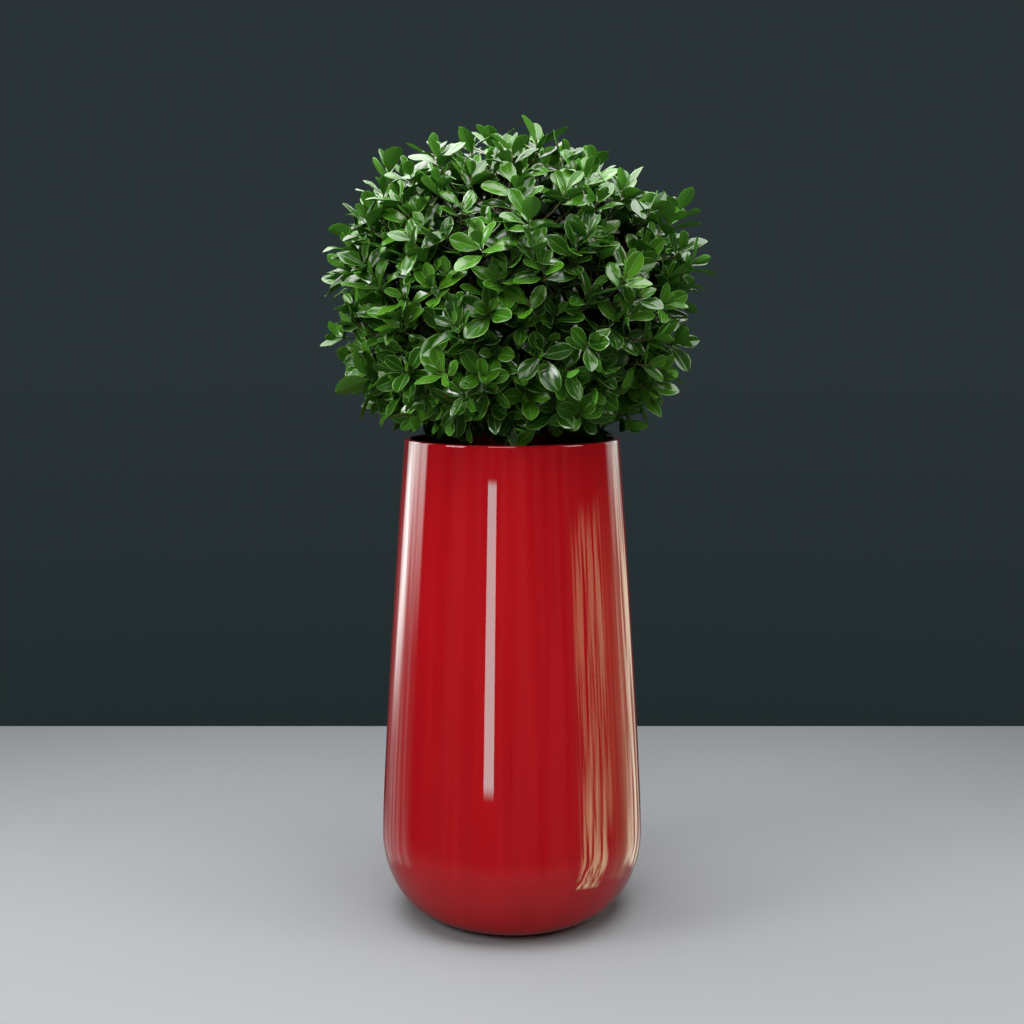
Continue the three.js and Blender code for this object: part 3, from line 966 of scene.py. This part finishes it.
def leaf_shapes(count, length, age):
    """Points of leaves that lie along Y from their stalk ends, their upper sides towards Z."""
    share = np.array(LEAF.rows)
    across = np.array(LEAF.columns)

    def stray(mean, spread):
        return random.normal(mean, spread, count)[:, None]

    curl = stray(*LEAF.curl) * lerp(*LEAF.curl_by_age, age)[:, None]
    angle = curl * share**LEAF.curl_power
    step = np.diff(share, prepend=0) * length[:, None]
    along = np.cumsum(step * np.cos(angle), axis=1)
    drop = np.cumsum(step * np.sin(angle), axis=1)
    widest = length[:, None] * LEAF.width / 2 * (1 + stray(0, LEAF.width_stray))
    half = np.maximum(widest * half_outline(share), lerp(LEAF.stalk_width, LEAF.tip_width, share) / 2)
    x = half[..., None] * across
    fold = stray(*LEAF.fold)[..., None] * np.abs(x)
    roll = -LEAF.roll * half[..., None] * np.clip(np.abs(across) - LEAF.roll_start, 0, None) ** 2
    phase = stray(0, LEAF.wave_stray)[..., None]
    waves_along, waves_across = LEAF.waves
    wave = LEAF.wave * np.sin(phase + waves_along * share[:, None] + waves_across * across) * across**2
    twist = stray(0, LEAF.twist)[..., None] * share[:, None] * x
    rise = fold + roll + wave * half_outline(share)[:, None] + twist
    rib = np.abs(across) < LEAF.rib
    thick = (half_outline(share)[:, None] + LEAF.least_thick) * LEAF.thickness

    def placed(rise, x):
        y = along[..., None] + rise * np.sin(angle)[..., None]
        z = rise * np.cos(angle)[..., None] - drop[..., None]
        return np.stack([x, y, z], axis=-1)

    upper = placed(rise - LEAF.rib_groove * rib * half_outline(share)[:, None], x)
    lower = placed(rise - thick - LEAF.rib_keel * rib, x)[:, 1:-1, 1:-1]
    return np.concatenate([upper.reshape(count, -1, 3), lower.reshape(count, -1, 3)], axis=1)


def spray_of_leaves(tip, way, tone):
    """Places and directions of the leaves at the end of one twig, the youngest at its tip."""
    count = random.integers(LEAF.per_twig[0], LEAF.per_twig[1] + 1)
    age = np.linspace(0, 1, count)
    side = sideways(way)
    other = np.cross(way, side)
    turn = random.uniform(0, 2 * math.pi) + np.arange(count) * GOLDEN_ANGLE
    turn = turn + random.normal(0, LEAF.turn_stray, count)
    out = np.cos(turn)[:, None] * side + np.sin(turn)[:, None] * other
    lean = lerp(*LEAF.lean, age**LEAF.lean_power) + random.normal(0, LEAF.lean_stray, count)
    lean = np.radians(lean)
    along = np.cos(lean)[:, None] * way + np.sin(lean)[:, None] * out
    along = unit(along + UP * LEAF.lift * age[:, None])
    across = unit(np.cross(along, way))
    up = np.cross(across, along)
    roll = random.normal(0, LEAF.roll_stray, count)[:, None]
    rolled = np.cos(roll) * across + np.sin(roll) * up
    up = np.cross(rolled, along)
    base = tip - way * lerp(*LEAF.leafy, age)[:, None]
    size = lerp(LEAF.youngest, 1, np.clip(age / LEAF.grown, 0, 1))
    size = size * (1 + random.normal(0, LEAF.size_stray, count)) * random.normal(1, LEAF.spray_stray)
    tones = np.full(count, tone)
    # Sprays in painted shade keep their dark green, with no young leaf.
    if tone != PAINTED_SHADE:
        tones[0] = YOUNG
    return base, np.stack([rolled, along, up], axis=1), size * LEAF.length, age, tones


def clear_of_pot(points):
    """Whether each leaf stays clear of the planter and the soil."""
    x, y, height = np.moveaxis(points, -1, 0)
    radius = np.hypot(x, y)
    lobe = np.cos(UNDERSIDE.lobes / 2 * np.arctan2(x, -y)) ** 2
    over_soil = trunk_foot + SOIL.clear_leaf
    in_mouth = POT.height + lerp(UNDERSIDE.over_rim, -UNDERSIDE.hang, lobe)
    over_rim = POT.height + lerp(UNDERSIDE.over_rim, UNDERSIDE.clear_rim, lobe)
    mouth = POT.rim_radius - POT.wall - UNDERSIDE.clear_rim
    lowest = np.where(radius < UNDERSIDE.middle, over_soil, np.where(radius < mouth, in_mouth, over_rim))
    return (height > lowest).all(axis=1)


def add_mass_leaves(mass, tips, ways, tones):
    sprays = [spray_of_leaves(tip, way, tone) for tip, way, tone in zip(tips, ways, tones)]
    base, basis, length, age, tone = (np.concatenate(parts) for parts in zip(*sprays))
    local = leaf_shapes(len(base), length, age)
    points = np.einsum("lpi,lij->lpj", local, basis) + base[:, None]
    kept = clear_of_pot(points)
    faces, kinds = leaf_layout()
    heap = Heap()
    for leaf, green in zip(points[kept], tone[kept]):
        # Leaves in painted shade are dark all over: margin, midrib and underside too.
        heap.add(leaf, [faces], np.where((kinds == BLADE) | (green == PAINTED_SHADE), green, kinds))
    sharp = math.radians(LEAF.crease)
    add_piece(f"leaves_{mass.name}", heap, leaf_looks, [f"foliage_{mass.name}"], sharp)


def add_crown():
    shoot_tips = spread_tips(SHOOT.count, SHOOT.depth, SHOOT.heights)
    twig_tips = np.concatenate([spread_tips(layer.count, layer.depth, layer.heights) for layer in LAYERS])
    tones = np.concatenate(
        [random.choice(len(LEAF_GREENS), layer.count, p=layer.greens) for layer in LAYERS]
    )
    ways = outwards(twig_tips)
    rise = TWIG.rise[0] + TWIG.rise[1] * ways[:, 2:]
    ways = unit(ways + UP * rise + random.normal(0, TWIG.stray, ways.shape))
    shoot_mass = mass_of(shoot_tips)
    twig_mass = mass_of(twig_tips)
    for number, mass in enumerate(masses):
        shoots = mass_shoots(mass, shoot_tips[shoot_mass == number])
        own = twig_mass == number
        twigs = [twig_path(shoots, tip, way) for tip, way in zip(twig_tips[own], ways[own])]
        add_mass_twigs(mass, shoots, twigs)
        add_mass_leaves(mass, twig_tips[own], ways[own], tones[own])


# Stage: camera, floor and light


def add_camera():
    data = bpy.data.cameras.new("camera")
    data.lens = CAMERA.lens
    data.sensor_width = CAMERA.sensor
    camera = bpy.data.objects.new("camera", data)
    camera.location = CAMERA.place
    camera.rotation_euler = (math.radians(90 - CAMERA.pitch), 0, 0)
    bpy.context.scene.collection.objects.link(camera)
    bpy.context.scene.camera = camera


def tone_along(tree, coordinates, axis, span, tones):
    """A colour that turns from one tone to another over a span of an axis."""
    place = tree.nodes.new("ShaderNodeTexCoord")
    split = tree.nodes.new("ShaderNodeSeparateXYZ")
    tone = tree.nodes.new("ShaderNodeMix")
    tone.data_type = "RGBA"
    start, end = [socket for socket in tone.inputs if socket.type == "RGBA"]
    start.default_value = (*tones[0], 1)
    end.default_value = (*tones[1], 1)
    tree.links.new(place.outputs[coordinates], split.inputs["Vector"])
    tree.links.new(spread(tree, split.outputs[axis], span), tone.inputs["Factor"])
    return next(socket for socket in tone.outputs if socket.type == "RGBA")


def add_floor():
    corners = [
        (FLOOR.left, FLOOR.front, 0),
        (FLOOR.right, FLOOR.front, 0),
        (FLOOR.right, FLOOR.back, 0),
        (FLOOR.left, FLOOR.back, 0),
    ]
    mesh = bpy.data.meshes.new("floor")
    mesh.from_pydata(corners, [], [(0, 1, 2, 3)])
    material = principled("pale_floor", PALE_GREY, FLOOR.roughness, Specular_IOR_Level=0.0)
    # Painted shade: the floor darkens towards its back edge.
    grey = tone_along(material.node_tree, "Object", "Y", (FLOOR.fade, FLOOR.back), (PALE_GREY, FAR_PAINTED_SHADE_GREY))
    material.node_tree.links.new(grey, material.node_tree.nodes["Principled BSDF"].inputs["Base Color"])
    mesh.materials.append(material)
    floor = bpy.data.objects.new("floor", mesh)
    bpy.context.scene.collection.objects.link(floor)
    floor.visible_glossy = False


def light_only(light, start):
    """Keeps a light to the pieces whose names have a start, if one is given."""
    if start:
        lit = bpy.data.collections.new(f"lit_by_{light.name}")
        for piece in bpy.data.objects:
            if piece.name.startswith(start):
                lit.objects.link(piece)
        light.light_linking.receiver_collection = lit


def add_lamp(lamp):
    data = bpy.data.lights.new(lamp.name, "AREA")
    data.shape = "RECTANGLE"
    data.size, data.size_y = lamp.size
    data.energy = lamp.power
    data.color = lamp.colour
    made = bpy.data.objects.new(lamp.name, data)
    made.location = lamp.place
    made.rotation_euler = (Vector(lamp.aim) - Vector(lamp.place)).to_track_quat("-Z", "Y").to_euler()
    made.visible_camera = False
    made.visible_glossy = lamp.shows
    bpy.context.scene.collection.objects.link(made)
    light_only(made, lamp.lights)


def panel_material(panel):
    """A glow that fades at the panel's edges, with soft streaks up it."""
    material = bpy.data.materials.new(f"panel_{panel.name}")
    material.use_nodes = True
    tree = material.node_tree
    nodes = tree.nodes
    links = tree.links
    nodes.remove(nodes["Principled BSDF"])
    place = nodes.new("ShaderNodeUVMap")
    split = nodes.new("ShaderNodeSeparateXYZ")
    links.new(place.outputs["UV"], split.inputs["Vector"])
    depth, number, breaks = panel.streaks
    stretch = nodes.new("ShaderNodeMapping")
    stretch.inputs["Location"].default_value = (panel.angles[0], 0, 0)
    stretch.inputs["Scale"].default_value = (number, breaks, 1)
    links.new(place.outputs["UV"], stretch.inputs["Vector"])
    streaks = nodes.new("ShaderNodeTexNoise")
    streaks.noise_dimensions = "2D"
    streaks.inputs["Scale"].default_value = 1
    streaks.inputs["Detail"].default_value = STREAK_DETAIL
    links.new(stretch.outputs["Vector"], streaks.inputs["Vector"])
    ends = (panel.glow * (1 - depth), panel.glow)
    strength = spread(tree, streaks.outputs["Fac"], STREAK_SPAN, ends, "SMOOTHSTEP")
    bottom, top, sides = panel.fade
    for axis, end, inside in (("Y", 0, bottom), ("Y", 1, 1 - top), ("X", 0, sides), ("X", 1, 1 - sides)):
        fade = spread(tree, split.outputs[axis], (end, inside), ease="SMOOTHSTEP")
        product = nodes.new("ShaderNodeMath")
        product.operation = "MULTIPLY"
        links.new(strength, product.inputs[0])
        links.new(fade, product.inputs[1])
        strength = product.outputs["Value"]
    glow = nodes.new("ShaderNodeEmission")
    glow.inputs["Color"].default_value = (*panel.tint, 1)
    links.new(strength, glow.inputs["Strength"])
    clear = nodes.new("ShaderNodeBsdfTransparent")
    both = nodes.new("ShaderNodeAddShader")
    links.new(glow.outputs["Emission"], both.inputs[0])
    links.new(clear.outputs["BSDF"], both.inputs[1])
    links.new(both.outputs["Shader"], nodes["Material Output"].inputs["Surface"])
    return material


def add_panel(panel):
    angles = np.radians(np.linspace(*panel.angles, PANEL_STEPS + 1))
    around = np.stack([np.sin(angles), -np.cos(angles)], axis=-1)
    edges = [
        np.column_stack([around * away, np.full(len(angles), height)])
        for away, height in zip(panel.away, panel.heights)
    ]
    mesh = bpy.data.meshes.new(f"panel_{panel.name}")
    mesh.from_pydata(np.concatenate(edges), [], grid_faces(2, len(angles), closed=False).tolist())
    across = np.tile(np.linspace(0, 1, len(angles)), 2)
    up = np.repeat([0.0, 1.0], len(angles))
    corner = np.empty(len(mesh.loops), np.int32)
    mesh.loops.foreach_get("vertex_index", corner)
    mesh.uv_layers.new(name="UVMap").data.foreach_set("uv", np.column_stack([across, up])[corner].ravel())
    mesh.materials.append(panel_material(panel))
    made = bpy.data.objects.new(f"panel_{panel.name}", mesh)
    made.visible_camera = False
    made.visible_diffuse = False
    made.visible_transmission = False
    made.visible_shadow = False
    bpy.context.scene.collection.objects.link(made)
    light_only(made, panel.lights)


def add_world():
    """A dim even light all round, with a plain dark grey behind the plant."""
    world = bpy.data.worlds.new("studio")
    world.use_nodes = True
    nodes = world.node_tree.nodes
    links = world.node_tree.links
    around = nodes["Background"]
    around.inputs["Color"].default_value = (*AMBIENT.colour, 1)
    around.inputs["Strength"].default_value = AMBIENT.strength
    behind = nodes.new("ShaderNodeBackground")
    grey = tone_along(world.node_tree, "Generated", "Z", WALL_RISE, (WALL_LOW_GREY, WALL_GREY))
    links.new(grey, behind.inputs["Color"])
    path = nodes.new("ShaderNodeLightPath")
    mix = nodes.new("ShaderNodeMixShader")
    links.new(path.outputs["Is Camera Ray"], mix.inputs["Fac"])
    links.new(around.outputs["Background"], mix.inputs[1])
    links.new(behind.outputs["Background"], mix.inputs[2])
    links.new(mix.outputs["Shader"], nodes["World Output"].inputs["Surface"])
    bpy.context.scene.world = world
    bpy.context.scene.view_settings.view_transform = "Standard"


add_planter()
add_soil()
add_trunk()
add_boughs()
add_crown()
add_camera()
add_floor()
add_world()
for lamp in LAMPS:
    add_lamp(lamp)
for panel in PANELS:
    add_panel(panel)
